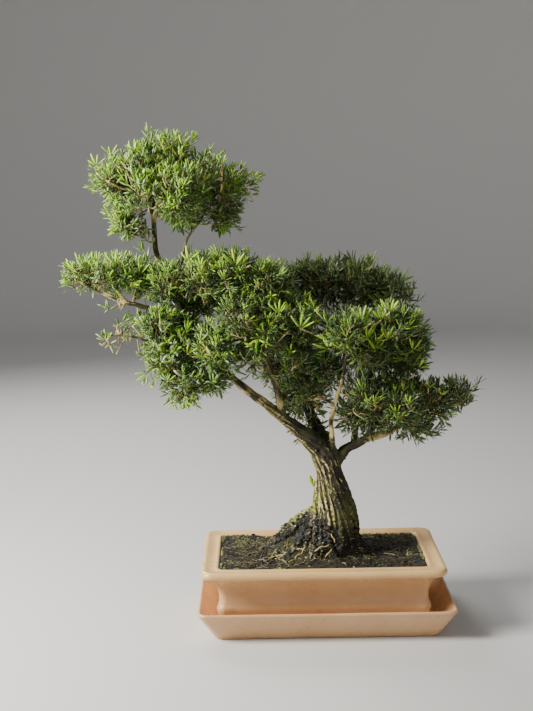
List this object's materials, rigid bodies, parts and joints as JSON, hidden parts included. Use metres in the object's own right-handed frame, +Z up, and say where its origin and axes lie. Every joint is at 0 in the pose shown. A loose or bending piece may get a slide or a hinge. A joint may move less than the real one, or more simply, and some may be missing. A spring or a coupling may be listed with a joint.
{
  "type": "potted bonsai tree",
  "caption": "Wind-swept boxwood bonsai with layered leafy sprays, in a glazed rectangular pot that stands in a matching drip tray.",
  "frame": {"origin": "on the table, at the middle of the drip tray's underside", "axes": "+Z up, +X along the tray's long side, away from the side that the crown leans to, and -Y to the front"},
  "size_m": [0.6217, 0.2603, 0.7523],
  "materials": {
    "glaze": "smooth cream to peach glaze with a soft gloss",
    "screen": "matte black mesh",
    "soil": "dark, damp, bark-rich potting soil with fibres and moss",
    "bark": "tan to grey-brown ridged bark, mossy near the soil",
    "leaf": "small glossy leaves, bright green at the tips and deep green within"
  },
  "bodies": {
    "root": {"drip_tray": "glaze", "pot": "glaze", "drain_screen_left": "screen", "drain_screen_right": "screen", "soil_bed": "soil", "tree_wood": "bark", "foliage_crown": "leaf", "foliage_left_arm": "leaf", "foliage_low_left_twig": "leaf", "foliage_upper_middle": "leaf", "foliage_lower_left": "leaf", "foliage_middle": "leaf", "foliage_upper_right": "leaf", "foliage_right": "leaf", "foliage_inner": "leaf", "foliage_inner_back": "leaf", "foliage_lower_right": "leaf"}
  },
  "joints": []
}
